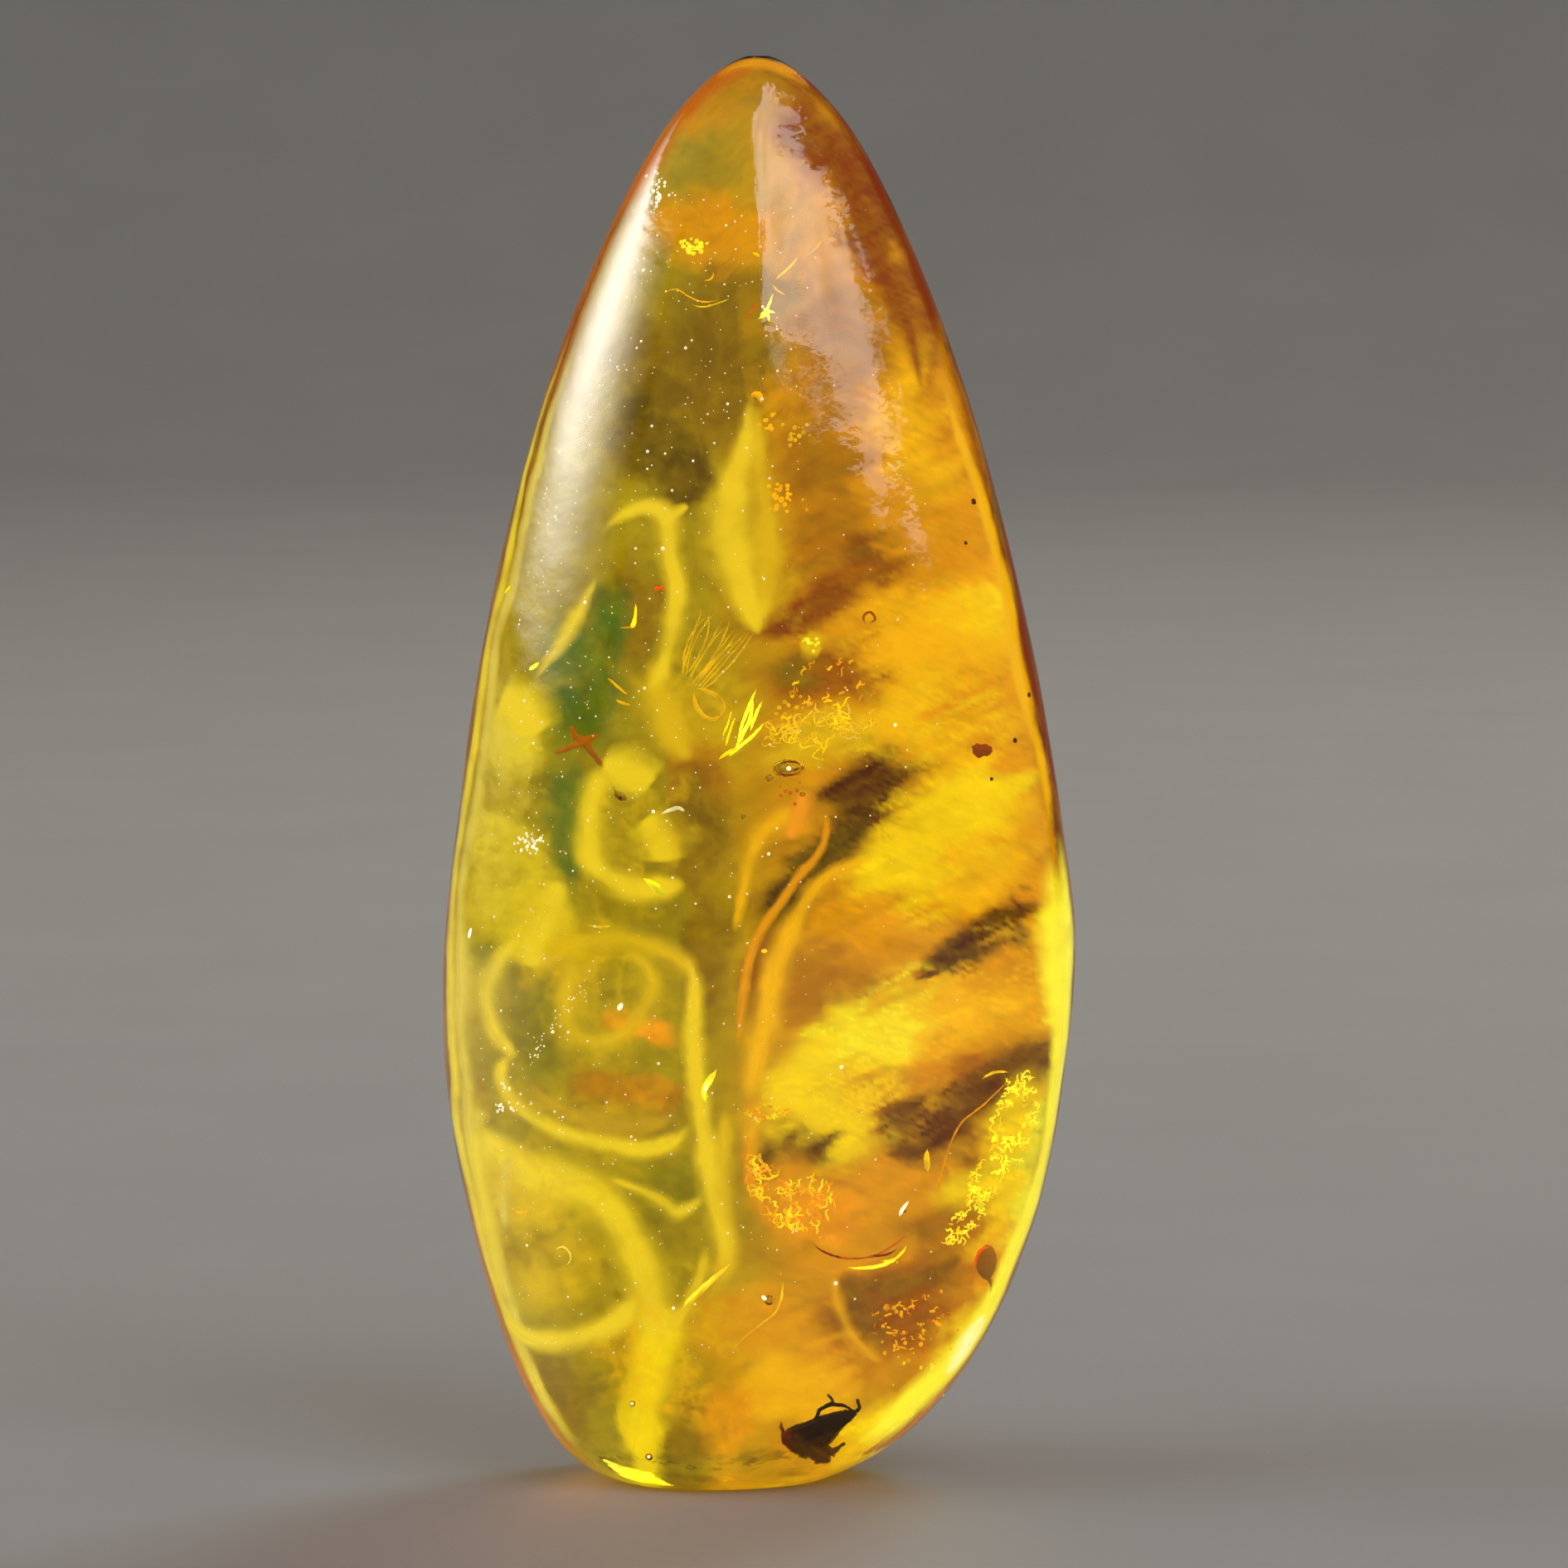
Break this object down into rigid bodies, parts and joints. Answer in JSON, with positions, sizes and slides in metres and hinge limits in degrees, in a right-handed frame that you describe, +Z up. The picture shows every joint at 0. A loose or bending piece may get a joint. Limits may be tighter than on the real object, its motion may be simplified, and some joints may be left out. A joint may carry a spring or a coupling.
{
  "type": "polished amber",
  "caption": "Polished drop of clear golden amber standing on a small ground foot, with an insect, a seed and plant debris sealed inside.",
  "frame": {"origin": "on the ground flat at the foot, at the middle of the stone's width and thickness", "axes": "+Z up to the tip, -Y towards the viewed front, +X to the viewer's right"},
  "size_m": [0.0267, 0.017, 0.06],
  "materials": {
    "amber": "polished",
    "insect": "satin",
    "seed": "satin",
    "leaf_hair": "matte",
    "mite": "matte",
    "bark": "matte"
  },
  "bodies": {
    "root": {"amber_front": "amber", "amber_back": "amber", "insect": "insect", "seed": "seed", "leaf_hair": "leaf_hair", "mite": "mite", "bark_crumb": "bark"}
  },
  "joints": []
}
